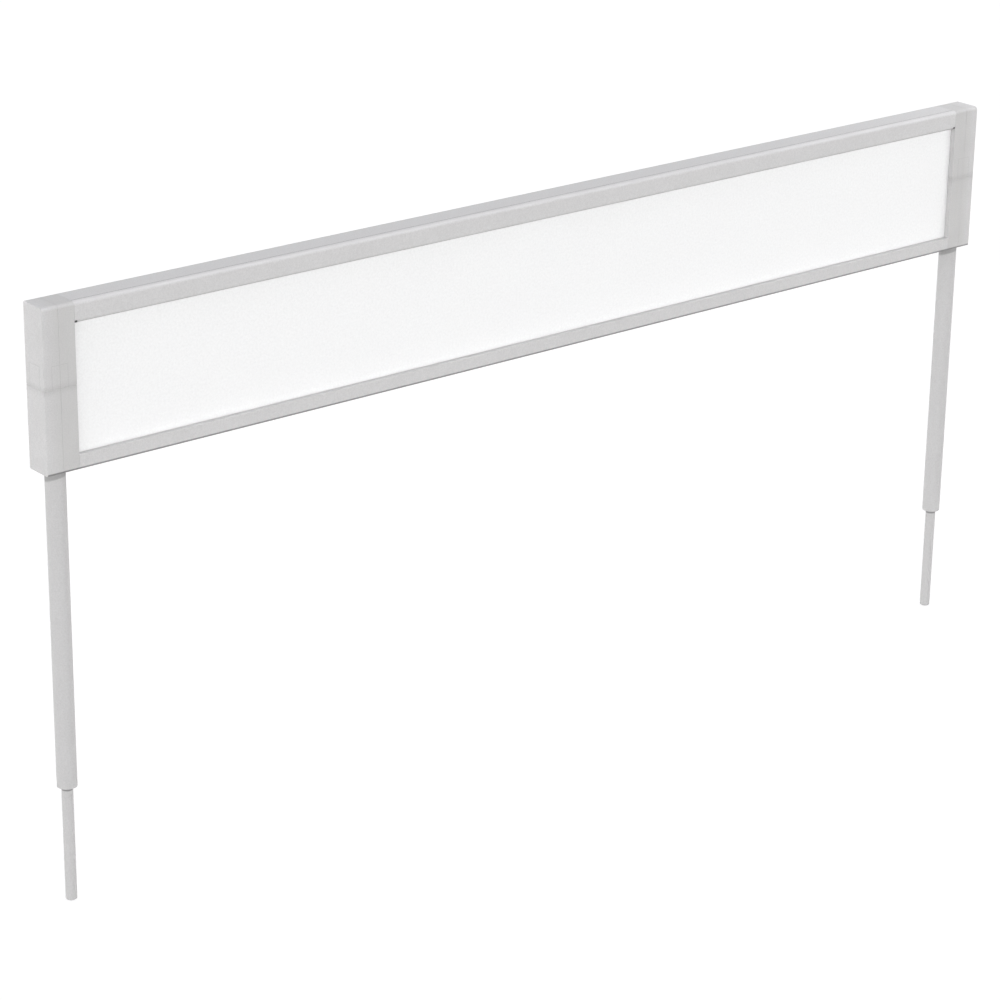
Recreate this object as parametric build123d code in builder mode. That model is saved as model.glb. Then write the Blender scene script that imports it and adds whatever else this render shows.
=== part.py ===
from build123d import *
import os

os.makedirs("parts", exist_ok=True)

# Counter-top sneeze guard: a long framed panel on two tubular posts.
#
# Frame of the model: X runs along the guard, Y from the guest side (front) to the staff
# side (back), Z up. The origin lies on the counter, midway between the two posts. The
# posts stand on the counter at Z = 0 and their studs pass down through it.
#
# The frame opens at mid-height: everything above the seam lifts off the two spigots, so
# that the panel can be drawn out of the lower half and cleaned.

# ---- posts and studs -------------------------------------------------------------------
post_spacing = 1524.0  # centre to centre, 60 inches
post_diameter = 25.4  # 1 inch tube
post_wall = 2.0
post_height = 412.8  # counter to the underside of the end blocks
stud_diameter = 14.5
stud_length = 155.3  # below the counter
stud_point = 1.0  # chamfer at the lower end
tang_diameter = 11.0  # the stud's upper end, screwed into the bushing
tang_length = 26.0
bushing_length = 32.0
bushing_recess = 1.0  # the bushing sits this far inside the tube's end
spigot_rise = 27.0  # above the seam, into the upper block
spigot_plug_length = 40.0  # pressed into the top of the tube
spigot_lead = 2.0  # chamfer that finds the socket

# ---- end blocks ------------------------------------------------------------------------
block_width = 44.5
frame_depth = 39.4
lower_block_height = 105.7
upper_block_height = 101.1
end_chamfer = 0.8  # around the outer end of a block
seam_chamfer = 0.5
parting_chamfer = 0.3
shell_wall = 3.0
screw_rib_thickness = 9.0  # the rib that carries the screw of a block

# ---- rails, whose outline runs on over the blocks ----------------------------------------
top_rail_height = 25.7
bottom_rail_height = 19.0
rail_wall = 2.0
rail_end_gap = 0.3
fascia_thickness = 7.2
fascia_wall = 1.7
front_top_radius = 4.8
back_top_radius = 1.2
foot_radius = 3.0
fascia_foot_radius = 2.4
joint_chamfer = 0.5
lip_radius = 0.8
hook_slot_height = 7.0
hook_thickness = 1.5
hook_length = 4.4
hook_barb = 0.8
tenon_length = 30.0

# ---- glazing ---------------------------------------------------------------------------
panel_thickness = 6.0
panel_lap = 6.0  # the frame covers this much of each edge of the panel
panel_arris = 0.4
bead_wall = 1.5
rear_lip = 2.0
buffer_width = 4.0
buffer_height = 3.0
buffer_setback = 1.0

# ---- screws ----------------------------------------------------------------------------
rail_screw_diameter = 4.0
rail_screw_length = 8.0
tenon_screw_setback = 16.0
shell_screw_diameter = 4.0
shell_screw_head = 7.0
shell_screw_head_height = 2.2
shell_screw_length = 32.0  # under the head, through the tube into the outer shell
upper_screw_drop = 40.0  # from the top of the frame

# ---- fits ------------------------------------------------------------------------------
press_clearance = 0.02  # radial, pieces pressed or screwed together
post_clearance = 0.05  # radial, tube in the blocks
spigot_clearance = 0.2  # radial, spigot in the upper block's socket
spigot_end_gap = 1.0
tenon_clearance = 0.15
hook_clearance = 0.2
screw_clearance = 0.2  # around the heads of the shell screws
rail_screw_clearance = 0.1  # radial, in the wall of the rail
panel_clearance = 0.3  # each face of the panel
panel_edge_clearance = 0.5

# ---- levels and places that follow ------------------------------------------------------
post_x = post_spacing / 2
post_radius = post_diameter / 2
tube_bore_radius = post_radius - post_wall
spigot_radius = tube_bore_radius - press_clearance
block_end_x = post_x + block_width / 2
seam_level = post_height + lower_block_height
frame_top = seam_level + upper_block_height
front_y = -frame_depth / 2
back_y = frame_depth / 2

sight_x = post_x - block_width / 2  # inner faces of the blocks
sight_bottom = post_height + bottom_rail_height
sight_top = frame_top - top_rail_height
rail_length = 2 * (sight_x - rail_end_gap)

groove_depth = panel_lap + bead_wall
groove_front = front_y + fascia_thickness
groove_back = back_y - rear_lip
groove_floor_x = sight_x + groove_depth
groove_floor = sight_bottom - groove_depth
groove_roof = sight_top + groove_depth
panel_front = groove_front + panel_clearance
panel_back = panel_front + panel_thickness
bead_front = panel_back + panel_clearance

lower_screw_level = post_height + lower_block_height / 2
upper_screw_level = frame_top - upper_screw_drop
tenon_screw_x = sight_x - tenon_screw_setback


def mirrored(part):
    """The left-hand twin of a right-hand piece."""
    with BuildPart() as twin:
        mirror(part, about=Plane.YZ)
    return twin


def block_form(base, height, seam_at_top, front_radius, back_radius):
    """Outside of one right-hand block: rounded like the rail it holds, chamfered at the seam."""
    seam_index, far_index = (-1, 0) if seam_at_top else (0, -1)
    with BuildPart() as form:
        with BuildSketch(Plane.XY.offset(base)):
            with Locations((post_x, 0)):
                Rectangle(block_width, frame_depth)
        extrude(amount=height)
        for side, radius in ((0, front_radius), (-1, back_radius)):
            far_face = form.faces().filter_by(Axis.Z).sort_by(Axis.Z)[far_index]
            fillet(far_face.edges().filter_by(Axis.X).sort_by(Axis.Y)[side], radius)
        end_edges = form.faces().sort_by(Axis.X)[-1].edges().sort_by(Axis.Z)
        chamfer(end_edges[:-1] if seam_at_top else end_edges[1:], end_chamfer)
        seam_face = form.faces().filter_by(Axis.Z).sort_by(Axis.Z)[seam_index]
        chamfer(seam_face.edges(), seam_chamfer)
    return form.part


def shell_half(form, keep, walls):
    """One half of a block, parted on the post's axis and cored between its walls and ribs.

    walls holds the bottom and top level of each horizontal wall or rib, from the lowest up.
    """
    outer = keep == Keep.TOP
    core_end = block_end_x - shell_wall if outer else groove_floor_x + shell_wall
    with BuildPart() as half:
        add(form)
        split(bisect_by=Plane.YZ.offset(post_x), keep=keep)
        parting = half.faces().filter_by(Axis.X).sort_by(Axis.X)[0 if outer else -1]
        chamfer(parting.edges().filter_by(Axis.Z), parting_chamfer)
        for below, above in zip(walls, walls[1:]):
            with BuildSketch(Plane.XY.offset(below[1])):
                with Locations(((post_x + core_end) / 2, 0)):
                    Rectangle(abs(core_end - post_x), frame_depth - 2 * shell_wall)
            extrude(amount=above[0] - below[1], mode=Mode.SUBTRACT)
    return half.part


def screw_bore(level):
    """Bore for a shell screw, which runs along X across the post's axis."""
    with BuildSketch(Plane.YZ.offset(groove_floor_x)) as bore:
        with Locations((0, level)):
            Circle(shell_screw_diameter / 2 + press_clearance)
    extrude(bore.sketch, amount=shell_screw_length, mode=Mode.SUBTRACT)


def post_bore(radius, start, depth):
    """Round socket on the post's axis."""
    with BuildSketch(Plane.XY.offset(start)) as socket:
        with Locations((post_x, 0)):
            Circle(radius)
    extrude(socket.sketch, amount=depth, mode=Mode.SUBTRACT)


def glazing_groove(start, depth):
    """The groove in a block's inner face that takes the panel's edge and its bead."""
    with BuildSketch(Plane.XY.offset(start)) as groove:
        with Locations((sight_x, groove_front)):
            Rectangle(groove_depth, groove_back - groove_front, align=(Align.MIN, Align.MIN))
    extrude(groove.sketch, amount=depth, mode=Mode.SUBTRACT)


def rail_tenons(cells, screw_row, screw_level):
    """Prongs on a block's inner face that fill the rail's chambers, one drilled for a screw."""
    for low_y, high_y, low_z, high_z in cells:
        with BuildSketch(Plane.YZ.offset(sight_x)) as prong:
            with Locations(((low_y + high_y) / 2, (low_z + high_z) / 2)):
                Rectangle(high_y - low_y - 2 * tenon_clearance, high_z - low_z - 2 * tenon_clearance)
        extrude(prong.sketch, amount=-tenon_length)
    with BuildSketch(Plane.XY.offset(screw_level)) as pilot:
        with Locations((tenon_screw_x, screw_row)):
            Circle(rail_screw_diameter / 2)
    extrude(pilot.sketch, amount=rail_screw_length, mode=Mode.SUBTRACT)


# ---- posts -----------------------------------------------------------------------------
with BuildPart() as right_post_tube:
    with BuildSketch():
        with Locations((post_x, 0)):
            Circle(post_radius)
            Circle(tube_bore_radius, mode=Mode.SUBTRACT)
    extrude(amount=seam_level)
    screw_bore(lower_screw_level)

with BuildPart() as right_stud_bushing:
    with BuildSketch(Plane.XY.offset(bushing_recess)):
        with Locations((post_x, 0)):
            Circle(tube_bore_radius - press_clearance)
            Circle(tang_diameter / 2 + press_clearance, mode=Mode.SUBTRACT)
    extrude(amount=bushing_length)

with BuildPart() as right_counter_stud:
    with BuildSketch(Plane.XY.offset(-stud_length)):
        with Locations((post_x, 0)):
            Circle(stud_diameter / 2)
    extrude(amount=stud_length + bushing_recess)
    chamfer(right_counter_stud.faces().sort_by(Axis.Z)[0].edges(), stud_point)
    with BuildSketch(Plane.XY.offset(bushing_recess)):
        with Locations((post_x, 0)):
            Circle(tang_diameter / 2)
    extrude(amount=tang_length)

with BuildPart() as right_coupling_spigot:
    with BuildSketch(Plane.XY.offset(seam_level - spigot_plug_length)):
        with Locations((post_x, 0)):
            Circle(spigot_radius)
    extrude(amount=spigot_plug_length + spigot_rise)
    chamfer(right_coupling_spigot.faces().sort_by(Axis.Z)[-1].edges(), spigot_lead)

# ---- lower blocks ----------------------------------------------------------------------
bottom_cell_low = post_height + rail_wall
bottom_cell_high = groove_floor - rail_wall
bottom_cells = (
    (front_y + rail_wall, -rail_wall / 2, bottom_cell_low, bottom_cell_high),
    (rail_wall / 2, back_y - rail_wall, bottom_cell_low, bottom_cell_high),
)
bottom_screw_y = (bottom_cells[1][0] + bottom_cells[1][1]) / 2
lower_walls = (
    (post_height, post_height + shell_wall),
    (lower_screw_level - screw_rib_thickness / 2, lower_screw_level + screw_rib_thickness / 2),
    (seam_level - shell_wall, seam_level),
)
lower_form = block_form(post_height, lower_block_height, True, foot_radius, foot_radius)

with BuildPart() as right_lower_outer_shell:
    add(shell_half(lower_form, Keep.TOP, lower_walls))
    screw_bore(lower_screw_level)
    post_bore(post_radius + post_clearance, post_height, lower_block_height)

with BuildPart() as right_lower_inner_shell:
    add(shell_half(lower_form, Keep.BOTTOM, lower_walls))
    screw_bore(lower_screw_level)
    post_bore(post_radius + post_clearance, post_height, lower_block_height)
    glazing_groove(groove_floor, seam_level - groove_floor)
    rail_tenons(bottom_cells, bottom_screw_y, post_height)

# ---- upper blocks ----------------------------------------------------------------------
top_cell_low = groove_roof + rail_wall
top_cell_high = frame_top - rail_wall
top_web_y = (groove_front + back_y) / 2
top_cells = (
    (groove_front + rail_wall, top_web_y - rail_wall / 2, top_cell_low, top_cell_high),
    (top_web_y + rail_wall / 2, back_y - rail_wall, top_cell_low, top_cell_high),
)
hook_reach_y = groove_front + hook_length + 2 * hook_clearance
top_tenons = (
    (hook_reach_y, top_cells[0][1], top_cell_low, top_cell_high),
    top_cells[1],
)
top_screw_y = (top_cells[1][0] + top_cells[1][1]) / 2
socket_depth = spigot_rise + spigot_end_gap
upper_walls = (
    (seam_level, seam_level + socket_depth + shell_wall),
    (upper_screw_level - screw_rib_thickness / 2, upper_screw_level + screw_rib_thickness / 2),
    (frame_top - shell_wall, frame_top),
)
upper_form = block_form(seam_level, upper_block_height, False, front_top_radius, back_top_radius)

with BuildPart() as right_upper_outer_shell:
    add(shell_half(upper_form, Keep.TOP, upper_walls))
    screw_bore(upper_screw_level)
    post_bore(spigot_radius + spigot_clearance, seam_level, socket_depth)

with BuildPart() as right_upper_inner_shell:
    add(shell_half(upper_form, Keep.BOTTOM, upper_walls))
    screw_bore(upper_screw_level)
    post_bore(spigot_radius + spigot_clearance, seam_level, socket_depth)
    glazing_groove(seam_level, groove_roof - seam_level)
    rail_tenons(top_tenons, top_screw_y, groove_roof)


# ---- screws of the block shells ----------------------------------------------------------
def shell_screws(level):
    """The pan-head screws of both blocks at one level, driven from the glazing grooves."""
    with BuildPart() as screws:
        with BuildSketch(Plane.YZ.offset(groove_floor_x)):
            with Locations((0, level)):
                Circle(shell_screw_diameter / 2)
        extrude(amount=shell_screw_length)
        with BuildSketch(Plane.YZ.offset(groove_floor_x)):
            with Locations((0, level)):
                Circle(shell_screw_head / 2)
        extrude(amount=-shell_screw_head_height)
        mirror(screws.part, about=Plane.YZ)
    return screws


lower_shell_screws = shell_screws(lower_screw_level)
upper_shell_screws = shell_screws(upper_screw_level)


# ---- rails -----------------------------------------------------------------------------
def corner(section, y, z):
    """The corner of a rail's section nearest to a point."""
    return section.vertices().sort_by_distance((y, z))[0]


def cut_cells(cells):
    """The hollow chambers of an extruded rail."""
    for low_y, high_y, low_z, high_z in cells:
        with Locations(((low_y + high_y) / 2, (low_z + high_z) / 2)):
            Rectangle(high_y - low_y, high_z - low_z, mode=Mode.SUBTRACT)


def rail_screw_holes(row, level):
    """Holes through a rail's lower wall, one near each end."""
    with BuildSketch(Plane.XY.offset(level)) as holes:
        with Locations((-tenon_screw_x, row), (tenon_screw_x, row)):
            Circle(rail_screw_diameter / 2 + rail_screw_clearance)
    extrude(holes.sketch, amount=rail_wall, mode=Mode.SUBTRACT)


lip_cell = (
    front_y + fascia_wall,
    groove_front - fascia_wall,
    bottom_cell_high + rail_wall,
    sight_bottom - fascia_wall,
)
with BuildPart() as bottom_rail:
    with BuildSketch(Plane.YZ.offset(-rail_length / 2)) as bottom_section:
        with Locations((0, post_height)):
            Rectangle(frame_depth, bottom_rail_height, align=(Align.CENTER, Align.MIN))
        fillet(bottom_section.vertices().group_by(Axis.Y)[0], foot_radius)
        fillet(bottom_section.vertices().group_by(Axis.Y)[-1], lip_radius)
        with Locations((groove_front, sight_bottom)):
            Rectangle(
                groove_back - groove_front,
                groove_depth,
                align=(Align.MIN, Align.MAX),
                mode=Mode.SUBTRACT,
            )
        cut_cells(bottom_cells + (lip_cell,))
    extrude(amount=rail_length)
    rail_screw_holes(bottom_screw_y, post_height)

slot_middle = (top_cell_low + top_cell_high) / 2
with BuildPart() as top_rail:
    with BuildSketch(Plane.YZ.offset(-rail_length / 2)) as top_section:
        with Locations((groove_front, frame_top)):
            Rectangle(back_y - groove_front, top_rail_height, align=(Align.MIN, Align.MAX))
        fillet(corner(top_section, back_y, frame_top), back_top_radius)
        chamfer(corner(top_section, groove_front, frame_top), joint_chamfer)
        with Locations((groove_front, sight_top)):
            Rectangle(
                groove_back - groove_front,
                groove_depth,
                align=(Align.MIN, Align.MIN),
                mode=Mode.SUBTRACT,
            )
        cut_cells(top_cells)
        with Locations((groove_front, slot_middle)):
            Rectangle(
                rail_wall,
                hook_slot_height,
                align=(Align.MIN, Align.CENTER),
                mode=Mode.SUBTRACT,
            )
    extrude(amount=rail_length)
    rail_screw_holes(top_screw_y, groove_roof)

# The fascia is a hollow strip that snaps into the slot in the front of the top rail.
core_top = frame_top - fascia_wall
core_bottom = sight_top + buffer_height + fascia_wall
core_middle = (core_top + core_bottom) / 2
fascia_cells = (
    (core_bottom, core_middle - fascia_wall / 2),
    (core_middle + fascia_wall / 2, core_top),
)
hook_face = groove_front + rail_wall + hook_clearance
hook_end = groove_front + hook_length
with BuildPart() as top_rail_fascia:
    with BuildSketch(Plane.YZ.offset(-rail_length / 2)) as fascia_section:
        with Locations((front_y, frame_top)):
            Rectangle(fascia_thickness, top_rail_height, align=(Align.MIN, Align.MAX))
        fillet(corner(fascia_section, front_y, sight_top), fascia_foot_radius)
        fillet(corner(fascia_section, front_y, frame_top), front_top_radius)
        chamfer(corner(fascia_section, groove_front, frame_top), joint_chamfer)
        for low, high in fascia_cells:
            with Locations(((front_y + groove_front) / 2, (low + high) / 2)):
                Rectangle(fascia_thickness - 2 * fascia_wall, high - low, mode=Mode.SUBTRACT)
        core_radius = front_top_radius - fascia_wall
        fillet(corner(fascia_section, front_y + fascia_wall, core_top), core_radius)
        for side in (-1, 1):
            leg_outer = slot_middle + side * (hook_slot_height / 2 - hook_clearance)
            leg_inner = leg_outer - side * hook_thickness
            with BuildLine():
                Polyline(
                    (groove_front, leg_inner),
                    (hook_end, leg_inner),
                    (hook_end, leg_outer),
                    (hook_face, leg_outer + side * hook_barb),
                    (hook_face, leg_outer),
                    (groove_front, leg_outer),
                    close=True,
                )
            make_face()
    extrude(amount=rail_length)
    with BuildSketch(Plane.XZ.offset(-back_y)):
        with Locations((-rail_length / 2, sight_top), (rail_length / 2, sight_top)):
            Rectangle(2 * buffer_width, 2 * buffer_height)
    extrude(amount=2 * frame_depth, mode=Mode.SUBTRACT)


def rail_screws(row, level):
    """Headless screws that lock a rail to a tenon of each block, flush with the rail."""
    with BuildPart() as screws:
        with BuildSketch(Plane.XY.offset(level)):
            with Locations((-tenon_screw_x, row), (tenon_screw_x, row)):
                Circle(rail_screw_diameter / 2)
        extrude(amount=rail_screw_length)
    return screws


bottom_rail_screws = rail_screws(bottom_screw_y, post_height)
top_rail_screws = rail_screws(top_screw_y, groove_roof)

# ---- glazing beads: hollow strips behind the panel, with a toe under its edge --------------
bead_depth = groove_back - bead_front
cell_width = (bead_depth - 3 * bead_wall) / 2
cell_pitch = cell_width + bead_wall


def bead_profile(edge, inward):
    """Bead section. edge is the sight line and inward the way into the groove, +1 or -1."""
    far = edge + inward * groove_depth
    with Locations(((bead_front + groove_back) / 2, (edge + far) / 2)):
        Rectangle(bead_depth, groove_depth)
        with Locations((-cell_pitch / 2, 0), (cell_pitch / 2, 0)):
            Rectangle(cell_width, groove_depth - 2 * bead_wall, mode=Mode.SUBTRACT)
    with Locations(((groove_front + bead_front) / 2, far - inward * bead_wall / 2)):
        Rectangle(bead_front - groove_front, bead_wall)


def rail_bead(edge, inward):
    """Bead along a rail."""
    with BuildPart() as bead:
        with BuildSketch(Plane.YZ.offset(-rail_length / 2)):
            bead_profile(edge, inward)
        extrude(amount=rail_length)
    return bead


def side_bead(bottom, top, screw_level):
    """Upright bead in a right-hand block, pierced over the head of the shell screw."""
    with BuildPart() as bead:
        with BuildSketch(Plane((0, 0, bottom), x_dir=(0, 1, 0), z_dir=(0, 0, -1))):
            bead_profile(sight_x, 1)
        extrude(amount=bottom - top)
        with BuildSketch(Plane.YZ.offset(groove_floor_x)):
            with Locations((0, screw_level)):
                Circle(shell_screw_head / 2 + screw_clearance)
        extrude(amount=-shell_screw_head_height - screw_clearance, mode=Mode.SUBTRACT)
    return bead


bottom_glazing_bead = rail_bead(sight_bottom, -1)
top_glazing_bead = rail_bead(sight_top, 1)
right_lower_glazing_bead = side_bead(groove_floor, seam_level, lower_screw_level)
right_upper_glazing_bead = side_bead(seam_level, groove_roof, upper_screw_level)

# ---- panel and its corner buffers ----------------------------------------------------------
panel_width = 2 * (sight_x + panel_lap - panel_edge_clearance)
panel_low = sight_bottom - panel_lap
panel_high = sight_top + panel_lap - panel_edge_clearance
with BuildPart() as guard_panel:
    with BuildSketch(Plane.XZ.offset(-panel_back)):
        with Locations((0, (panel_low + panel_high) / 2)):
            Rectangle(panel_width, panel_high - panel_low)
    extrude(amount=panel_thickness)
    chamfer(guard_panel.faces().filter_by(Axis.Y).edges(), panel_arris)

with BuildPart() as corner_buffers:
    with BuildSketch(Plane.XZ.offset(-groove_front)):
        for side in (-1, 1):
            buffer_x = side * (rail_length / 2 - buffer_width / 2)
            with Locations((buffer_x, sight_top + buffer_height / 2)):
                Rectangle(buffer_width, buffer_height)
    extrude(amount=fascia_thickness - buffer_setback)

# ---- every piece, labelled and written --------------------------------------------------
handed = {
    "post_tube": right_post_tube,
    "stud_bushing": right_stud_bushing,
    "counter_stud": right_counter_stud,
    "coupling_spigot": right_coupling_spigot,
    "lower_outer_shell": right_lower_outer_shell,
    "lower_inner_shell": right_lower_inner_shell,
    "upper_outer_shell": right_upper_outer_shell,
    "upper_inner_shell": right_upper_inner_shell,
    "lower_glazing_bead": right_lower_glazing_bead,
    "upper_glazing_bead": right_upper_glazing_bead,
}
central = {
    "lower_shell_screws": lower_shell_screws,
    "upper_shell_screws": upper_shell_screws,
    "bottom_rail": bottom_rail,
    "bottom_rail_screws": bottom_rail_screws,
    "bottom_glazing_bead": bottom_glazing_bead,
    "guard_panel": guard_panel,
    "top_rail": top_rail,
    "top_rail_fascia": top_rail_fascia,
    "top_rail_screws": top_rail_screws,
    "top_glazing_bead": top_glazing_bead,
    "corner_buffers": corner_buffers,
}
pieces = dict(central)
for name, piece in handed.items():
    pieces["right_" + name] = piece
    pieces["left_" + name] = mirrored(piece.part)
for name, piece in pieces.items():
    piece.part.label = name
    export_step(piece.part, "parts/" + name + ".step")
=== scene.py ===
# %% [markdown]
# # A counter-top sneeze guard
#
# A sneeze guard stands on a serving counter and shields the food. Two round posts carry a
# long frame with a panel in it, and the upper half of the frame lifts off, so that the
# panel can be drawn out and washed.
#
# The construction of the guard is already modelled, piece by piece. This file dresses it:
# it gives each piece the finish that the real one has, makes the screws of the rails with
# their sockets, and sets up a plain studio with a camera.

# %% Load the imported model
import math

import bmesh
import bpy
from mathutils import Matrix, Vector


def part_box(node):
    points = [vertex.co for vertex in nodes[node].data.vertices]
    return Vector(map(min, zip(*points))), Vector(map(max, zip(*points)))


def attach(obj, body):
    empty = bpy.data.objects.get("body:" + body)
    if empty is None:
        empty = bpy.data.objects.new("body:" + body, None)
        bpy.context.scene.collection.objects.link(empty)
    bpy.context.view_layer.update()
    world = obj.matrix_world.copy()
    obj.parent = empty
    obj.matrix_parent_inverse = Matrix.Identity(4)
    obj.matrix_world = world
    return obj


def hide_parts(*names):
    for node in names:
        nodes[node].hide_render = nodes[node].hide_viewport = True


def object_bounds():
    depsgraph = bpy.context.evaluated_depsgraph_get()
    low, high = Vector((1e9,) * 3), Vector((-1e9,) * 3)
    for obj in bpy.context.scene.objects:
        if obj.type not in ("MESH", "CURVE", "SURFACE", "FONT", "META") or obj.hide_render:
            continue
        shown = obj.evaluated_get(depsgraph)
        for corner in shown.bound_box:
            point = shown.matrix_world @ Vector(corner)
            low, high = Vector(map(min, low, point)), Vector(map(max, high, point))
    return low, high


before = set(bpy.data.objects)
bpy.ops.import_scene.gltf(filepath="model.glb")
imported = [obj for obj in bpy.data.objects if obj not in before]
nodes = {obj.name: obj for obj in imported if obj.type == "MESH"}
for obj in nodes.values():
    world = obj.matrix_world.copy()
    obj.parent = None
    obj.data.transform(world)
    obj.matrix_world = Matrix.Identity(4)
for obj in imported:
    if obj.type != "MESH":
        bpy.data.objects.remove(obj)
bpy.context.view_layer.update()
MM = 0.001

# %% [markdown]
# ## Two helpers
#
# Paint makers give colours as sRGB hex values, while a shader wants linear light, so one
# function turns the first into the second. The other adds one node with its settings and
# links. Both could be done by hand in the shader editor, but written out like this a finish
# can be read from top to bottom.

# %% Colours and nodes


def paint(code):
    """An sRGB hex colour as linear red, green, blue and alpha."""
    linear = []
    for start in (0, 2, 4):
        value = int(code[start:start + 2], 16) / 255
        linear.append(value / 12.92 if value <= 0.04045 else ((value + 0.055) / 1.055) ** 2.4)
    return (*linear, 1.0)


def add_node(tree, kind, inputs, **settings):
    """Add a node with its settings, and fill its inputs by name or number.

    An input is a value, a socket, or another node, which stands for its first output.
    """
    node = tree.nodes.new("ShaderNode" + kind)
    for name, value in settings.items():
        setattr(node, name, value)
    for name, value in inputs.items():
        if isinstance(value, bpy.types.Node):
            value = value.outputs[0]
        if isinstance(value, bpy.types.NodeSocket):
            tree.links.new(value, node.inputs[name])
        else:
            node.inputs[name].default_value = value
    return node


print("mid grey CDCDCD in linear light:", [round(part, 3) for part in paint("CDCDCD")[:3]])

# %% [markdown]
# ## A start and an end for every finish
#
# Every finish below is one Principled shader whose patterns read Object coordinates. The
# pieces all sit at the origin with their place in their mesh, so Object coordinates are
# simply metres in the guard's own frame, and a pattern's scale is one over its real size.
#
# The patterns come mostly from four kinds of node. Noise makes grain and clouds. Map Range
# stretches noise, or turns a distance into a mask with a soft edge, 1 inside and 0 outside.
# Math joins masks. Mix lays one colour over another where a mask is 1.

# %% New finish

# The numbers in a Mix node of its two colours and of the colour that it makes.
FIRST, SECOND, MIXED = 6, 7, 2

# Noise keeps near one half, and Map Range stretches this part of it.
NOISE_SPAN = {"From Min": 0.3, "From Max": 0.7}

# With this setting Map Range makes a soft edge.
SOFT = {"interpolation_type": "SMOOTHSTEP"}


def new_finish(name):
    """An empty material, its node tree and its Object coordinates."""
    material = bpy.data.materials.new(name)
    material.use_nodes = True
    tree = material.node_tree
    tree.nodes.clear()
    return material, tree, add_node(tree, "TexCoord", {}).outputs["Object"]


def close_finish(material, surface):
    """Give a material its shader, with the inputs that make its surface."""
    shader = add_node(material.node_tree, "BsdfPrincipled", surface)
    add_node(material.node_tree, "OutputMaterial", {"Surface": shader})
    print("finish:", material.name)
    return material


# %% [markdown]
# ## Painted shade and highlight on the coated pieces
#
# Painted shade darkens the long joint behind the fascia, the top of a post under its block,
# the top of a stud under its post, and the lower edges. A paler colour paints a highlight
# on the round top edge of the fascia.
#
# Each mark is a mask worked out from coordinates, so it needs no image and no unwrapping,
# and it rides along when a piece moves. Its levels come from the boxes of the pieces.

# %% Where the marks lie
post_x = sum(corner[0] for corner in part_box("right_post_tube")) / 2
joint_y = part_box("top_rail")[0][1]
frame_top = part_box("top_rail")[1][2]
frame_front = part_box("top_rail_fascia")[0][1]
fascia_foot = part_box("top_rail_fascia")[0][2]
block_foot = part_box("right_lower_outer_shell")[0][2]
print("joint at", round(joint_y, 4), "block foot at", round(block_foot, 4))

# %% Painted shade along edges
# A near-black colour, mixed in as painted shade.
painted_shade_colour = paint("383736")
edge_shade_height, edge_shade_strength = 3.0 * MM, 0.62
foot_fade, edge_shade_fade = 0.3 * MM, 0.5 * MM


def darken_with_painted_shade(tree, colour, painted_shade):
    """A colour, darkened with painted shade where the mask is 1."""
    colours = {FIRST: colour, SECOND: painted_shade_colour}
    return add_node(tree, "Mix", {"Factor": painted_shade, **colours}, data_type="RGBA").outputs[MIXED]


def lower_edge_shade(tree, z, foot, height):
    """Painted shade along a lower edge, from foot up to height above it."""
    ends = {"From Min": foot, "From Max": foot + foot_fade}
    above = add_node(tree, "MapRange", {"Value": z, **ends}, **SOFT)
    ends = {"From Min": foot + height + edge_shade_fade, "From Max": foot + height - edge_shade_fade}
    below = add_node(tree, "MapRange", {"Value": z, **ends}, **SOFT)
    return add_node(tree, "Math", {0: above, 1: below}, operation="MULTIPLY")


# %% Painted shade and painted highlight on the rails
joint_half_width = 0.7 * MM
lip_height, lip_strength = 2.4 * MM, 0.1
highlight_start, highlight_full = -4 * MM, 1 * MM


def rail_painted_shade(tree, x, y, z):
    """Painted shade on the rails: in the joint behind the fascia and along both lower edges."""
    away = add_node(tree, "Math", {0: y, 1: joint_y}, operation="SUBTRACT")
    away = add_node(tree, "Math", {0: away}, operation="ABSOLUTE")
    ends = {"From Min": joint_half_width, "From Max": 0.0}
    near = add_node(tree, "MapRange", {"Value": away, **ends}, **SOFT)
    on_top = add_node(
        tree, "Math", {0: z, 1: frame_top - joint_half_width}, operation="GREATER_THAN"
    )
    joint = add_node(tree, "Math", {0: near, 1: on_top}, operation="MULTIPLY")
    foot = lower_edge_shade(tree, z, block_foot, edge_shade_height)
    foot = add_node(tree, "Math", {0: foot, 1: edge_shade_strength}, operation="MULTIPLY")
    lip = lower_edge_shade(tree, z, fascia_foot, lip_height)
    lip = add_node(tree, "Math", {0: lip, 1: lip_strength}, operation="MULTIPLY")
    edges = add_node(tree, "Math", {0: foot, 1: lip}, operation="MAXIMUM")
    return add_node(tree, "Math", {0: joint, 1: edges}, operation="MAXIMUM")


def fascia_painted_highlight(tree, x, y, z):
    """1 over the round top edge of the fascia, where a paler colour paints its highlight."""
    inwards = add_node(tree, "Math", {0: y, 1: frame_front}, operation="SUBTRACT")
    down = add_node(tree, "Math", {0: frame_top, 1: z}, operation="SUBTRACT")
    turn = add_node(tree, "Math", {0: inwards, 1: down}, operation="SUBTRACT")
    ends = {"From Min": highlight_start, "From Max": highlight_full}
    turn = add_node(tree, "MapRange", {"Value": turn, **ends}, **SOFT)
    on_fascia = add_node(tree, "Math", {0: y, 1: joint_y}, operation="LESS_THAN")
    return add_node(tree, "Math", {0: turn, 1: on_fascia}, operation="MULTIPLY")


# %% Painted shadow on the posts and studs
collar_height, collar_edge, collar_strength = 13 * MM, 0.75, 0.42
slope_back, slope_left = 0.35, 0.15
ring_end, ring_full, ring_strength = 5.6 * MM, 4.2 * MM, 1.4
stud_top = -0.1 * MM


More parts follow.
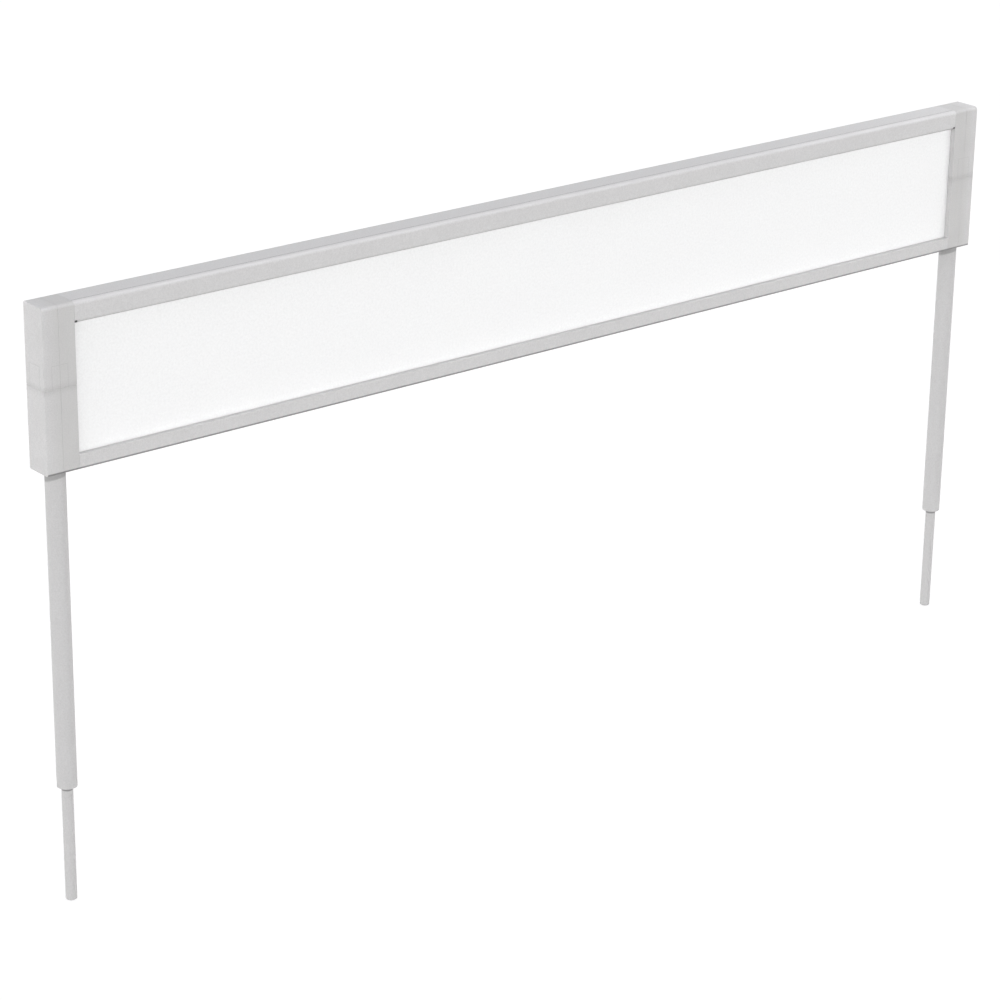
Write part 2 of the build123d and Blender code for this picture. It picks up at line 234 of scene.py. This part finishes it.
def post_painted_shadow(tree, x, y, z):
    """Painted shadow under the block, lower at the back and the left, and under the foot of a
    post.
    """
    side = add_node(tree, "Math", {0: x}, operation="SIGN")
    axis = add_node(tree, "Math", {0: side, 1: post_x}, operation="MULTIPLY")
    aside = add_node(tree, "Math", {0: x, 1: axis}, operation="SUBTRACT")
    behind = add_node(tree, "Math", {0: y, 1: slope_back}, operation="MULTIPLY")
    reach = add_node(tree, "Math", {0: behind, 1: collar_height}, operation="ADD")
    aside = add_node(tree, "Math", {0: aside, 1: slope_left}, operation="MULTIPLY")
    reach = add_node(tree, "Math", {0: reach, 1: aside}, operation="SUBTRACT")
    depth = add_node(tree, "Math", {0: block_foot, 1: z}, operation="SUBTRACT")
    depth = add_node(tree, "Math", {0: depth, 1: reach}, operation="DIVIDE")
    ends = {"From Min": 1.0, "From Max": collar_edge}
    collar = add_node(tree, "MapRange", {"Value": depth, **ends}, **SOFT)
    off_foot = add_node(tree, "Math", {0: z}, operation="ABSOLUTE")
    ends = {"From Min": ring_end, "From Max": ring_full}
    ring = add_node(tree, "MapRange", {"Value": off_foot, **ends}, **SOFT)
    below = add_node(tree, "Math", {0: z, 1: stud_top}, operation="LESS_THAN")
    ring = add_node(tree, "Math", {0: ring, 1: below}, operation="MULTIPLY")
    ring = add_node(tree, "Math", {0: ring, 1: ring_strength}, operation="MULTIPLY")
    painted_shade = add_node(tree, "Math", {0: collar, 1: ring}, operation="MAXIMUM")
    return add_node(tree, "Math", {0: painted_shade, 1: collar_strength}, operation="MULTIPLY")


print("marks ready on rails, posts and studs")

# %% [markdown]
# ## Powder coat on the rails and posts
#
# The rails are extruded aluminium and the posts are steel tube, both with a light grey
# polyester powder coat. Powder melts into a skin with a faint orange peel, a few
# millimetres from crest to crest, and its pigment is a little uneven. To the eye that is a
# satin grey with soft-edged highlights. The speckle of the pigment is finer than a
# millimetre, so it is drawn at two, as coarse as it needs to be to show.

# %% Powder-coated metal
speckle_size, speckle_share = 1.9 * MM, 0.85
cloud_size, cloud_share = 60 * MM, 0.15
peel_size, peel_depth = 3.0 * MM, 0.03 * MM
coat_roughness, roughness_drift = 0.5, 0.04
# A paler colour and its share, which paint the highlight on the fascia's round edge.
highlight_colour, highlight_share = paint("D7D6D6"), 0.5


def powder_coat(name, light, dark, painted_shade, painted_highlight=None):
    """Powder coat with painted shade and a painted highlight, given as functions of the
    coordinates.
    """
    material, tree, place = new_finish(name)
    x, y, z = add_node(tree, "SeparateXYZ", {"Vector": place}).outputs
    speckle = add_node(
        tree,
        "TexNoise",
        {"Vector": place, "Scale": 1 / speckle_size, "Detail": 3.0, "Roughness": 0.7},
    )
    clouds = add_node(tree, "TexNoise", {"Vector": place, "Scale": 1 / cloud_size})
    span = {**NOISE_SPAN, "To Min": 0.0, "To Max": speckle_share}
    fine = add_node(tree, "MapRange", {"Value": speckle, **span})
    span = {**NOISE_SPAN, "To Min": 0.0, "To Max": cloud_share}
    broad = add_node(tree, "MapRange", {"Value": clouds, **span})
    blend = add_node(tree, "Math", {0: fine, 1: broad}, operation="ADD")
    colours = {FIRST: paint(dark), SECOND: paint(light)}
    coat = add_node(tree, "Mix", {"Factor": blend, **colours}, data_type="RGBA").outputs[MIXED]
    if painted_highlight:
        painted_lit = painted_highlight(tree, x, y, z)
        painted_lit = add_node(tree, "Math", {0: painted_lit, 1: highlight_share}, operation="MULTIPLY")
        colours = {FIRST: coat, SECOND: highlight_colour}
        coat = add_node(tree, "Mix", {"Factor": painted_lit, **colours}, data_type="RGBA").outputs[MIXED]
    span = {
        **NOISE_SPAN,
        "To Min": coat_roughness - roughness_drift,
        "To Max": coat_roughness + roughness_drift,
    }
    sheen = add_node(tree, "MapRange", {"Value": clouds, **span})
    peel = add_node(tree, "TexNoise", {"Vector": place, "Scale": 1 / peel_size})
    skin = add_node(tree, "Bump", {"Height": peel, "Distance": peel_depth, "Strength": 0.5})
    colour = darken_with_painted_shade(tree, coat, painted_shade(tree, x, y, z))
    return close_finish(material, {"Base Color": colour, "Roughness": sheen, "Normal": skin})


rail_finish = powder_coat(
    "powder_coated_aluminium", "D3D2D2", "C3C2C2", rail_painted_shade, fascia_painted_highlight
)
# The posts' coat is painted a few levels darker than the rails' same coat, as painted shade.
post_finish = powder_coat("powder_coated_steel", "CAC9C9", "BCBBBB", post_painted_shadow)

# %% [markdown]
# ## Moulded plastic for the end blocks
#
# The shells of the end blocks are injection-moulded from a grey glass-filled nylon. The
# mould is spark-eroded, which leaves a fine even grain. The real grain is a tenth of a
# millimetre, too fine to show here, so it is drawn at two millimetres and kept shallow.
#
# Three faint marks are drawn on a shell. Thick plastic shrinks as it cools, so the walls of
# the spigot's socket inside draw faint sink lines on the skin. Beside the seam where the top
# lifts off, the colour is darkened as painted shade. Towards the outer corners, and on the
# narrow side that faces the panel, the colour is lightened a little as painted light.

# %% Sink lines and seam
seam_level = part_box("right_upper_outer_shell")[0][2]
block_half_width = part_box("right_upper_outer_shell")[1][0] - post_x
socket_half_width = 11.0 * MM
socket_height = 29.0 * MM
sink_width, sink_strength = 0.9 * MM, 0.38
seam_reach, seam_strength = 8 * MM, 0.35


def near_line(tree, distance, line, width):
    """1 where a distance is that of a line, fading to 0 at width from the line."""
    away = add_node(tree, "Math", {0: distance, 1: line}, operation="SUBTRACT")
    away = add_node(tree, "Math", {0: away}, operation="ABSOLUTE")
    ends = {"From Min": width, "From Max": 0.0}
    return add_node(tree, "MapRange", {"Value": away, **ends}, **SOFT)


def sink_lines(tree, across, rise):
    """Faint lines around a square on each face, above the seam: 1 on a line, 0 off it."""
    beside = near_line(tree, across, socket_half_width, sink_width)
    above = near_line(tree, rise, socket_height, sink_width)
    inside = add_node(tree, "Math", {0: across, 1: socket_half_width}, operation="LESS_THAN")
    under = add_node(tree, "Math", {0: rise, 1: socket_height}, operation="LESS_THAN")
    over = add_node(tree, "Math", {0: rise, 1: 0.0}, operation="GREATER_THAN")
    upper = add_node(tree, "Math", {0: under, 1: over}, operation="MULTIPLY")
    sides = add_node(tree, "Math", {0: beside, 1: upper}, operation="MULTIPLY")
    top = add_node(tree, "Math", {0: above, 1: inside}, operation="MULTIPLY")
    return add_node(tree, "Math", {0: sides, 1: top}, operation="MAXIMUM")


def seam_shade_and_sink_lines(tree, outwards, y, rise):
    """Painted shade along the seam and the sink lines above it, each at its own strength."""
    off_seam = add_node(tree, "Math", {0: rise}, operation="ABSOLUTE")
    ends = {"From Min": seam_reach, "From Max": 0.0}
    painted_shade = add_node(tree, "MapRange", {"Value": off_seam, **ends}, **SOFT)
    painted_shade = add_node(tree, "Math", {0: painted_shade, 1: seam_strength}, operation="MULTIPLY")
    beside = add_node(tree, "Math", {0: outwards}, operation="ABSOLUTE")
    deep = add_node(tree, "Math", {0: y}, operation="ABSOLUTE")
    across = add_node(tree, "Math", {0: beside, 1: deep}, operation="MINIMUM")
    lines = sink_lines(tree, across, rise)
    lines = add_node(tree, "Math", {0: lines, 1: sink_strength}, operation="MULTIPLY")
    return add_node(tree, "Math", {0: painted_shade, 1: lines}, operation="ADD")


print("seam at", round(seam_level, 4))

# %% Painted light, painted shade and grain on a shell
lit_start = -4 * MM
reveal_start, reveal_full = 0.7 * MM - block_half_width, 0.3 * MM - block_half_width
shaded_edge_width = block_half_width - 1 * MM
grain_size, grain_share, grain_depth = 1.8 * MM, 0.52, 0.03 * MM
flow_size, flow_share = 35 * MM, 0.15


def painted_lit_parts(tree, outwards):
    """Painted light: 1 at the outer side of a block, fading inwards, and 1 on the side towards
    the panel.
    """
    ends = {"From Min": lit_start, "From Max": block_half_width}
    corner = add_node(tree, "MapRange", {"Value": outwards, **ends}, **SOFT)
    ends = {"From Min": reveal_start, "From Max": reveal_full}
    reveal = add_node(tree, "MapRange", {"Value": outwards, **ends}, **SOFT)
    return add_node(tree, "Math", {0: corner, 1: reveal}, operation="MAXIMUM")


def shell_edge_shade(tree, outwards, z):
    """Painted shade at the foot of a block, except on its outer side."""
    inboard = add_node(tree, "Math", {0: outwards, 1: shaded_edge_width}, operation="LESS_THAN")
    share = add_node(tree, "Math", {0: inboard, 1: edge_shade_strength}, operation="MULTIPLY")
    foot = lower_edge_shade(tree, z, block_foot, edge_shade_height)
    return add_node(tree, "Math", {0: foot, 1: share}, operation="MULTIPLY")


def moulded_plastic(name, painted_lit, plain, dark):
    """Grained nylon, lightened by painted light, and darkened along its sink lines and by painted
    shade.
    """
    material, tree, place = new_finish(name)
    grain = add_node(
        tree,
        "TexNoise",
        {"Vector": place, "Scale": 1 / grain_size, "Detail": 3.0, "Roughness": 0.7},
    )
    flow = add_node(tree, "TexNoise", {"Vector": place, "Scale": 1 / flow_size, "Detail": 3.0})
    x, y, z = add_node(tree, "SeparateXYZ", {"Vector": place}).outputs
    sideways = add_node(tree, "Math", {0: x}, operation="ABSOLUTE")
    outwards = add_node(tree, "Math", {0: sideways, 1: post_x}, operation="SUBTRACT")
    rise = add_node(tree, "Math", {0: z, 1: seam_level}, operation="SUBTRACT")
    colours = {FIRST: paint(plain), SECOND: paint(painted_lit)}
    lit_mask = painted_lit_parts(tree, outwards)
    nylon = add_node(tree, "Mix", {"Factor": lit_mask, **colours}, data_type="RGBA").outputs[MIXED]
    span = {**NOISE_SPAN, "To Min": 0.0, "To Max": grain_share}
    fine = add_node(tree, "MapRange", {"Value": grain, **span})
    span = {**NOISE_SPAN, "To Min": 0.0, "To Max": flow_share}
    broad = add_node(tree, "MapRange", {"Value": flow, **span})
    mottle = add_node(tree, "Math", {0: fine, 1: broad}, operation="ADD")
    marks = seam_shade_and_sink_lines(tree, outwards, y, rise)
    shade = add_node(tree, "Math", {0: mottle, 1: marks}, operation="ADD")
    shade = add_node(tree, "Math", {0: shade, 1: 1.0}, operation="MINIMUM")
    colours = {FIRST: nylon, SECOND: paint(dark)}
    nylon = add_node(tree, "Mix", {"Factor": shade, **colours}, data_type="RGBA").outputs[MIXED]
    colour = darken_with_painted_shade(tree, nylon, shell_edge_shade(tree, outwards, z))
    skin = add_node(tree, "Bump", {"Height": grain, "Distance": grain_depth, "Strength": 0.5})
    return close_finish(material, {"Base Color": colour, "Roughness": 0.5, "Normal": skin})


# D3D2D2 is the painted light, C9C8C7 the plain nylon, and B5B4B4 the dark of grain, sink lines
# and painted shade.
shell_finish = moulded_plastic("moulded_nylon", "D3D2D2", "C9C8C7", "B5B4B4")

# %% [markdown]
# ## Opal acrylic for the panel
#
# The panel is a sheet of opal acrylic: cast with a white pigment that scatters the light,
# so nothing shows through it, and polished by the glass plates that it is cast between.
#
# The scattering is done by the shader's subsurface part. Light that enters at one point
# leaves up to a few millimetres away, which softens the shading beside the frame.

# %% Opal acrylic
pigment_size = 3.0 * MM
wipe_size, wipe_stretch = 40 * MM, (0.3, 1.0, 1.0)
wiped_gloss, dull_gloss = 0.3, 0.33
scatter_reach = 6 * MM


def opal_acrylic(name, light, dark):
    """White acrylic that scatters light, with a faint drift of pigment and wiping marks."""
    material, tree, place = new_finish(name)
    drift = add_node(
        tree,
        "TexNoise",
        {"Vector": place, "Scale": 1 / pigment_size, "Detail": 4.0, "Roughness": 0.7},
    )
    span = {**NOISE_SPAN, "To Min": 0.0, "To Max": 1.0}
    drift = add_node(tree, "MapRange", {"Value": drift, **span})
    colours = {FIRST: paint(dark), SECOND: paint(light)}
    white = add_node(tree, "Mix", {"Factor": drift, **colours}, data_type="RGBA").outputs[MIXED]
    along = add_node(tree, "Mapping", {"Vector": place, "Scale": wipe_stretch})
    wiped = add_node(tree, "TexNoise", {"Vector": along, "Scale": 1 / wipe_size})
    span = {**NOISE_SPAN, "To Min": wiped_gloss, "To Max": dull_gloss}
    gloss = add_node(tree, "MapRange", {"Value": wiped, **span})
    scattering = {
        "Subsurface Weight": 1.0,
        "Subsurface Radius": (1.0, 1.0, 1.0),
        "Subsurface Scale": scatter_reach,
    }
    return close_finish(
        material, {"Base Color": white, "Roughness": gloss, "IOR": 1.49, **scattering}
    )


panel_finish = opal_acrylic("opal_acrylic", "F4F4F4", "EAEAEA")

# %% [markdown]
# ## The small pieces' finishes
#
# Behind the panel run grey PVC beads, extruded through a die that leaves faint lines. The
# corner buffers are black rubber, with the pale bloom that old rubber gets. Spigots and
# bushings are turned steel with rings from the tool, and the screws are a paler stainless
# steel with fewer rings.
#
# The die's lines are noise that is stretched a hundred times along the rails, where the long
# beads run. On the upright beads they run across, which hardly shows behind the panel.

# %% PVC and rubber
die_stretch = (0.01, 1.0, 1.0)
die_line, die_depth = 1.2 * MM, 0.02 * MM
bloom_size, bloom_depth = 1.5 * MM, 0.05 * MM


def extruded_plastic(name, light, dark):
    """Smooth plastic with faint lines from the die."""
    material, tree, place = new_finish(name)
    along = add_node(tree, "Mapping", {"Vector": place, "Scale": die_stretch})
    lines = add_node(tree, "TexNoise", {"Vector": along, "Scale": 1 / die_line, "Detail": 3.0})
    colours = {FIRST: paint(dark), SECOND: paint(light)}
    mix = add_node(tree, "Mix", {"Factor": lines, **colours}, data_type="RGBA")
    skin = add_node(tree, "Bump", {"Height": lines, "Distance": die_depth, "Strength": 0.4})
    surface = {"Base Color": mix.outputs[MIXED], "Roughness": 0.35, "Normal": skin}
    return close_finish(material, surface)


def black_rubber(name, bloomed, fresh):
    """Dull rubber with a blotchy pale bloom."""
    material, tree, place = new_finish(name)
    bloom = add_node(tree, "TexNoise", {"Vector": place, "Scale": 1 / bloom_size, "Detail": 4.0})
    colours = {FIRST: paint(fresh), SECOND: paint(bloomed)}
    mix = add_node(tree, "Mix", {"Factor": bloom, **colours}, data_type="RGBA")
    skin = add_node(tree, "Bump", {"Height": bloom, "Distance": bloom_depth, "Strength": 0.5})
    surface = {"Base Color": mix.outputs[MIXED], "Roughness": 0.8, "Normal": skin}
    return close_finish(material, surface)


bead_finish = extruded_plastic("grey_pvc", "D0D0CE", "C8C8C6")
buffer_finish = black_rubber("black_rubber", "585858", "4C4C4C")

# %% Steel
stain_size, stain_colour = 8 * MM, paint("B9BABB")
ring_depth, ring_wander = 0.01 * MM, 0.6
smooth_steel, rough_steel = 0.25, 0.4


def turned_steel(name, colour, three_rings):
    """Bare steel with rings from the tool, about three in each length given, and a stain."""
    material, tree, place = new_finish(name)
    wave = {"Scale": 1 / three_rings, "Distortion": ring_wander, "Detail": 1.0}
    bands = {"wave_type": "BANDS", "bands_direction": "Z"}
    rings = add_node(tree, "TexWave", {"Vector": place, **wave}, **bands).outputs["Fac"]
    stain = add_node(tree, "TexNoise", {"Vector": place, "Scale": 1 / stain_size})
    colours = {FIRST: paint(colour), SECOND: stain_colour}
    mix = add_node(tree, "Mix", {"Factor": stain, **colours}, data_type="RGBA")
    span = {**NOISE_SPAN, "To Min": smooth_steel, "To Max": rough_steel}
    gloss = add_node(tree, "MapRange", {"Value": rings, **span})
    skin = add_node(tree, "Bump", {"Height": rings, "Distance": ring_depth, "Strength": 0.5})
    surface = {"Base Color": mix.outputs[MIXED], "Metallic": 1.0, "Roughness": gloss}
    return close_finish(material, {**surface, "Normal": skin})


turned_finish = turned_steel("turned_steel", "A8A9AA", 3 * MM)
screw_finish = turned_steel("stainless_steel", "C2C2C1", 6 * MM)

# %% [markdown]
# ## Dress the pieces
#
# Each piece keeps its own shape, and only its material slots change. The names of the
# pieces say what they are made of, so one short table is enough. The first word of the
# table that a name contains decides.

# %% Give each piece its finish
finish_by_word = (
    ("screws", screw_finish),
    ("shell", shell_finish),
    ("bead", bead_finish),
    ("guard_panel", panel_finish),
    ("corner_buffers", buffer_finish),
    ("post_tube", post_finish),
    ("counter_stud", post_finish),
    ("stud_bushing", turned_finish),
    ("coupling_spigot", turned_finish),
    ("rail", rail_finish),
)
for name, piece in nodes.items():
    finish = next(finish for word, finish in finish_by_word if word in name)
    if not piece.material_slots:
        piece.data.materials.append(finish)
    for slot in piece.material_slots:
        slot.material = finish
print("dressed:", len(nodes))

# %% [markdown]
# ## Headless screws in the rails
#
# The foot of the bottom rail and the roof of the top rail's groove are drilled near both
# ends. A headless screw is driven up through each hole into the tenon of the block, until
# its end is flush with the wall. The imported screws are plain pins, so each pair is made
# anew, with a small chamfer and the hexagon socket for the key.
#
# The socket could be cut with a boolean, but one ring of faces is enough. The end of the
# screw is inset, the points of the inset move on to the sides of a hexagon, and the face
# between them is pushed up into the screw.
#
# Each pair rides on the body of its rail. It stands for the imported pair, which is hidden,
# and has the same stainless steel finish.

# %% Headless screws
screw_sides = 24
key_width, key_depth = 2.0 * MM, 2.2 * MM
end_chamfer, ring_inset = 0.3 * MM, 0.4 * MM


def lower_end(screw):
    """The face at the lower end of a screw."""
    return min(screw.faces, key=lambda face: face.calc_center_median().z)


def hexagon_reach(angle):
    """How far from its middle the outline of the key's hexagon lies in one direction."""
    side = math.radians(60)
    return key_width / 2 / math.cos(angle % side - side / 2)


def headless_screw(low, high):
    """The right-hand screw of a pair that fills the box from low to high, and its middle."""
    radius = (high.y - low.y) / 2
    middle = Vector((high.x - radius, (low.y + high.y) / 2, (low.z + high.z) / 2))
    screw = bmesh.new()
    bmesh.ops.create_cone(
        screw,
        cap_ends=True,
        segments=screw_sides,
        radius1=radius,
        radius2=radius,
        depth=high.z - low.z,
        matrix=Matrix.Translation(middle),
    )
    bmesh.ops.bevel(
        screw,
        geom=list(lower_end(screw).edges),
        offset=end_chamfer,
        affect="EDGES",
        segments=1,
        profile=0.5,
        material=-1,
    )
    end = lower_end(screw)
    bmesh.ops.inset_region(screw, faces=[end], thickness=ring_inset)
    for vert in end.verts:
        angle = math.atan2(vert.co.y - middle.y, vert.co.x - middle.x)
        vert.co.x = middle.x + hexagon_reach(angle) * math.cos(angle)
        vert.co.y = middle.y + hexagon_reach(angle) * math.sin(angle)
    socket = bmesh.ops.extrude_discrete_faces(screw, faces=[end])["faces"][0]
    bmesh.ops.translate(screw, verts=list(socket.verts), vec=(0.0, 0.0, key_depth))
    return screw, middle


def screw_pair(name, node, body):
    """A pair of headless screws that stands for a packed pair."""
    pair, middle = headless_screw(*(Vector(corner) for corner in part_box(node)))
    twin = bmesh.ops.duplicate(pair, geom=pair.verts[:] + pair.edges[:] + pair.faces[:])
    twin_verts = [part for part in twin["geom"] if isinstance(part, bmesh.types.BMVert)]
    bmesh.ops.translate(pair, verts=twin_verts, vec=(-2 * middle.x, 0.0, 0.0))
    bmesh.ops.recalc_face_normals(pair, faces=pair.faces)
    mesh = bpy.data.meshes.new(name)
    pair.to_mesh(mesh)
    pair.free()
    mesh.materials.append(screw_finish)
    piece = bpy.data.objects.new(name, mesh)
    bpy.context.scene.collection.objects.link(piece)
    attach(piece, body)
    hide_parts(node)
    print(name, "faces:", len(mesh.polygons))


screw_pair("bottom_rail_headless_screws", "bottom_rail_screws", "lower_frame")
screw_pair("top_rail_headless_screws", "top_rail_screws", "top_frame")

# %% [markdown]
# ## Floor
#
# The guard stands on a wide sheet of white paper. To the camera the paper also glows, so
# that it stays white, while its own diffuse part still darkens where the guard takes light
# away, which keeps the shadow.

# %% Floor
low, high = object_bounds()
centre = (Vector(low) + Vector(high)) / 2
floor_reach = 14.0
floor_gap = 0.5 * MM
floor_mesh = bpy.data.meshes.new("floor")
sheet = bmesh.new()
bmesh.ops.create_grid(sheet, x_segments=1, y_segments=1, size=floor_reach)
bmesh.ops.translate(sheet, verts=sheet.verts, vec=(centre.x, centre.y, low[2] - floor_gap))
sheet.to_mesh(floor_mesh)
sheet.free()
floor = bpy.data.objects.new("floor", floor_mesh)
bpy.context.scene.collection.objects.link(floor)
print("floor at", round(low[2] - floor_gap, 4))

# %% White paper
fibre_size = 5 * MM
paper_glow = 0.905


def seen_ray(tree):
    """One for rays that show the background: to the camera, in a gloss or through glass."""
    rays = add_node(tree, "LightPath", {}).outputs
    direct = {0: rays["Is Camera Ray"], 1: rays["Is Glossy Ray"]}
    seen = add_node(tree, "Math", direct, operation="MAXIMUM")
    return add_node(
        tree, "Math", {0: seen, 1: rays["Is Transmission Ray"]}, operation="MAXIMUM"
    )


def white_paper(name, light, dark):
    """Matt paper with a soft mottle of fibres, which glows for rays that show it."""
    material, tree, place = new_finish(name)
    fibres = add_node(tree, "TexNoise", {"Vector": place, "Scale": 1 / fibre_size, "Detail": 3.0})
    colours = {FIRST: paint(dark), SECOND: paint(light)}
    mix = add_node(tree, "Mix", {"Factor": fibres, **colours}, data_type="RGBA")
    glow = add_node(tree, "Math", {0: seen_ray(tree), 1: paper_glow}, operation="MULTIPLY")
    material.cycles.emission_sampling = "NONE"
    surface = {
        "Base Color": mix.outputs[MIXED],
        "Roughness": 0.9,
        "Specular IOR Level": 0.0,
        "Emission Color": (1.0, 1.0, 1.0, 1.0),
        "Emission Strength": glow,
    }
    return close_finish(material, surface)


floor_mesh.materials.append(white_paper("white_paper", "707070", "6C6C6C"))

# %% [markdown]
# ## Studio light
#
# Three lights shape the guard. The sky is a white cove that is bright near the horizon and
# dim overhead, so the upright faces get most of it. It is a little brighter on the left and
# in front, and it gives nothing from below the horizon. For rays that show the background
# the sky is plain white instead.
#
# A wide distant lamp overhead, faintly blue, lights the top faces. A small softbox above the
# right end lifts that end, which is farther from the camera.

# %% World
cove_level, zenith_level = 6.45, 0.1
cove_rise, zenith_rise = 0.06, 0.34
east_lean, north_lean = -0.18, -0.06

world = bpy.data.worlds.new("studio")
bpy.context.scene.world = world
world.use_nodes = True
tree = world.node_tree
tree.nodes.clear()
direction = add_node(tree, "TexCoord", {}).outputs["Generated"]
east, north, rise = add_node(tree, "SeparateXYZ", {"Vector": direction}).outputs
span = {
    "From Min": cove_rise,
    "From Max": zenith_rise,
    "To Min": cove_level,
    "To Max": zenith_level,
}
dome = add_node(tree, "MapRange", {"Value": rise, **span})
east = add_node(tree, "Math", {0: east, 1: east_lean}, operation="MULTIPLY")
north = add_node(tree, "Math", {0: north, 1: north_lean}, operation="MULTIPLY")
lean = add_node(tree, "Math", {0: east, 1: north}, operation="ADD")
lean = add_node(tree, "Math", {0: lean, 1: 1.0}, operation="ADD")
dome = add_node(tree, "Math", {0: dome, 1: lean}, operation="MULTIPLY")
upwards = add_node(tree, "Math", {0: rise, 1: 0.0}, operation="GREATER_THAN")
dome = add_node(tree, "Math", {0: dome, 1: upwards}, operation="MULTIPLY")
level = add_node(tree, "Mix", {"Factor": seen_ray(tree), "A": dome, "B": 1.0}, data_type="FLOAT")
sky = add_node(tree, "Background", {"Color": (1, 1, 1, 1), "Strength": level})
add_node(tree, "OutputWorld", {"Surface": sky})
print("cove", cove_level, "zenith", zenith_level)

# %% Lamps
overhead_colour = (0.94, 0.95, 1.0)


def soft_lamp(name, direction, level, spread):
    """A distant lamp, spread degrees wide. At level 1 a white sheet that faces it is white."""
    lamp = bpy.data.lights.new(name, "SUN")
    lamp.energy = level * math.pi
    lamp.angle = math.radians(spread)
    lamp.color = overhead_colour
    holder = bpy.data.objects.new(name, lamp)
    holder.rotation_euler = Vector(direction).to_track_quat("Z", "Y").to_euler()
    bpy.context.scene.collection.objects.link(holder)


def softbox(name, place, size, watts):
    """A round softbox that hangs above the guard and faces straight down."""
    lamp = bpy.data.lights.new(name, "AREA")
    lamp.shape = "DISK"
    lamp.size = size
    lamp.energy = watts
    holder = bpy.data.objects.new(name, lamp)
    holder.location = place
    holder.visible_camera = False
    bpy.context.scene.collection.objects.link(holder)


soft_lamp("overhead", direction=(0.1, 0.0, 1.0), level=0.46, spread=50)
softbox("right_softbox", place=(1.0, 0.1, 1.07), size=0.3, watts=0.62)
print("lamps:", len(bpy.data.lights))

# %% [markdown]
# ## Camera
#
# The guard is seen from its left front corner, a little above, through a long lens that
# keeps its upright lines nearly parallel. The camera's three axes are worked out from its
# azimuth and elevation, and two of them are then turned a little about its line of sight.

# %% Camera
azimuth, elevation, roll = (math.radians(angle) for angle in (-39.758, 21.162, 0.8))
aim = centre + Vector((-0.0801, 0.0, -0.0193))
distance = 4.2906
camera_data = bpy.data.cameras.new("camera")
camera_data.lens = 116.64
camera_data.sensor_width = 36.0
camera = bpy.data.objects.new("camera", camera_data)
bpy.context.scene.collection.objects.link(camera)
back = Vector((
    math.sin(azimuth) * math.cos(elevation),
    -math.cos(azimuth) * math.cos(elevation),
    math.sin(elevation),
))
right = Vector((math.cos(azimuth), math.sin(azimuth), 0.0))
up = back.cross(right)
turned_right = right * math.cos(roll) + up * math.sin(roll)
turned_up = up * math.cos(roll) - right * math.sin(roll)
turn = Matrix((turned_right, turned_up, back)).transposed().to_4x4()
camera.matrix_world = Matrix.Translation(aim + distance * back) @ turn
bpy.context.scene.camera = camera
bpy.context.scene.view_settings.view_transform = "Standard"
print("camera at", [round(value, 3) for value in camera.location])
